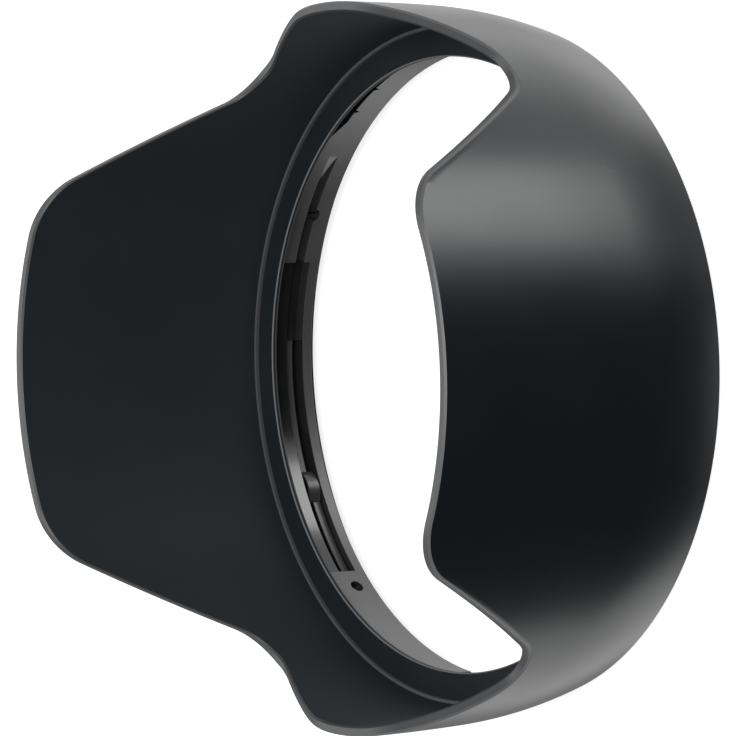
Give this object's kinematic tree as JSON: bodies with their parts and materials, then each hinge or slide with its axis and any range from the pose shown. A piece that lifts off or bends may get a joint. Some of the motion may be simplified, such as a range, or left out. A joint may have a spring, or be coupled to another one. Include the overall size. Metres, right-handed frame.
{
  "type": "lens hood",
  "caption": "Petal lens hood for a fast wide camera lens: black aluminium shade on a bayonet ring with sprung click detents.",
  "frame": {"origin": "centre of the rear rim's flat face, on the optical axis", "axes": "+Z along the optical axis towards the front, X through the two long petals, Y through the two short petals"},
  "size_m": [0.1022, 0.102, 0.0494],
  "materials": {
    "anodised_shell": "satin black anodised aluminium, matt inside",
    "matt_black_stop": "matt black anodised aluminium",
    "anodised_ring": "semi-gloss black anodised aluminium",
    "spring_steel": "blackened spring steel, worn bright on the nose",
    "blackened_screw": "blackened steel"
  },
  "bodies": {
    "hood": {"petal_shell": "anodised_shell", "light_stop": "matt_black_stop", "bayonet_ring": "anodised_ring", "ring_screw_1": "blackened_screw", "ring_screw_2": "blackened_screw", "ring_screw_3": "blackened_screw", "ring_screw_4": "blackened_screw"},
    "detent_1": {"detent_spring_1": "spring_steel"},
    "detent_2": {"detent_spring_2": "spring_steel"}
  },
  "joints": [
    {"name": "detent_1_press", "type": "slide", "parent": "hood", "child": "detent_1", "axis": [-0.9171, -0.3987, 0], "range_m": [0, 0.00055], "stiffness_N_per_m": 2500, "springref_m": -0.0004},
    {"name": "detent_2_press", "type": "slide", "parent": "hood", "child": "detent_2", "axis": [0.9171, 0.3987, 0], "range_m": [0, 0.00055], "stiffness_N_per_m": 2500, "springref_m": -0.0004}
  ]
}
